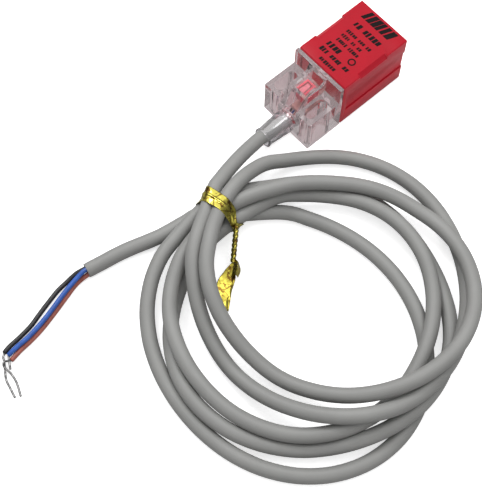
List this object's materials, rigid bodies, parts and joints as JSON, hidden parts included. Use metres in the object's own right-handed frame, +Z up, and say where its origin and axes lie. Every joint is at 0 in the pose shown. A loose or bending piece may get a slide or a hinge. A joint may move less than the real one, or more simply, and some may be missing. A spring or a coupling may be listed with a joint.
{
  "type": "inductive proximity sensor",
  "caption": "Square inductive proximity sensor: red housing, clear slotted rear cover with indicator window, and a grey three-core cable lying in a tied coil.",
  "frame": {"origin": "bottom centre of the sensor's body (housing and rear cover), on the surface it stands on", "axes": "+Z up, +Y along the body towards the sensing face, +X to the right seen from the cable end; the cable leaves at -Y and its coil lies at +X"},
  "size_m": [0.0961, 0.1404, 0.018],
  "materials": {
    "red_moulding": "satin moulded red plastic",
    "clear_moulding": "clear moulded plastic with a faint pink tint",
    "led_lens": "milky lens",
    "tinned_wire": "tinned copper, dull silver",
    "ferrite": "matte dark grey ferrite",
    "bobbin_plastic": "off-white moulded plastic",
    "copper_winding": "enamelled copper wire",
    "black_plastic": "black moulding compound",
    "board_laminate": "buff lacquered paper laminate",
    "trimmer_plastic": "blue trimmer body",
    "capacitor_body": "yellow moulded capacitor",
    "ceramic_chip": "tan ceramic chip",
    "potting_resin": "dark red potting resin",
    "cable_jacket": "grey satin PVC cable jacket",
    "wire_black": "black PVC wire insulation",
    "wire_blue": "blue PVC wire insulation",
    "wire_brown": "brown PVC wire insulation",
    "gold_foil": "bright gold foil twist tie"
  },
  "bodies": {
    "root": {"front_housing": "red_moulding", "rear_cover": "clear_moulding", "strain_relief": "clear_moulding", "indicator_reflector": "red_moulding", "indicator_led": "led_lens", "led_lead_1": "tinned_wire", "led_lead_2": "tinned_wire", "ferrite_core": "ferrite", "coil_bobbin": "bobbin_plastic", "sensing_coil": "copper_winding", "core_carrier": "black_plastic", "coil_lead_1": "copper_winding", "coil_lead_2": "copper_winding", "circuit_board": "board_laminate", "oscillator_chip": "black_plastic", "output_transistor": "black_plastic", "regulator": "black_plastic", "protection_diode": "black_plastic", "sensitivity_trimmer": "trimmer_plastic", "capacitor_supply": "capacitor_body", "capacitor_tank": "ceramic_chip", "resistor_base": "ceramic_chip", "potting_plug": "potting_resin", "core_black": "wire_black", "core_blue": "wire_blue", "core_brown": "wire_brown", "cable_lead": "cable_jacket", "cable_coil": "cable_jacket", "cable_tail": "cable_jacket", "wire_black": "wire_black", "wire_blue": "wire_blue", "wire_brown": "wire_brown", "tip_black": "tinned_wire", "tip_blue": "tinned_wire", "tip_brown": "tinned_wire", "tie_band": "gold_foil", "tie_twist": "gold_foil", "tie_flap_long": "gold_foil", "tie_flap_short": "gold_foil"}
  },
  "joints": []
}
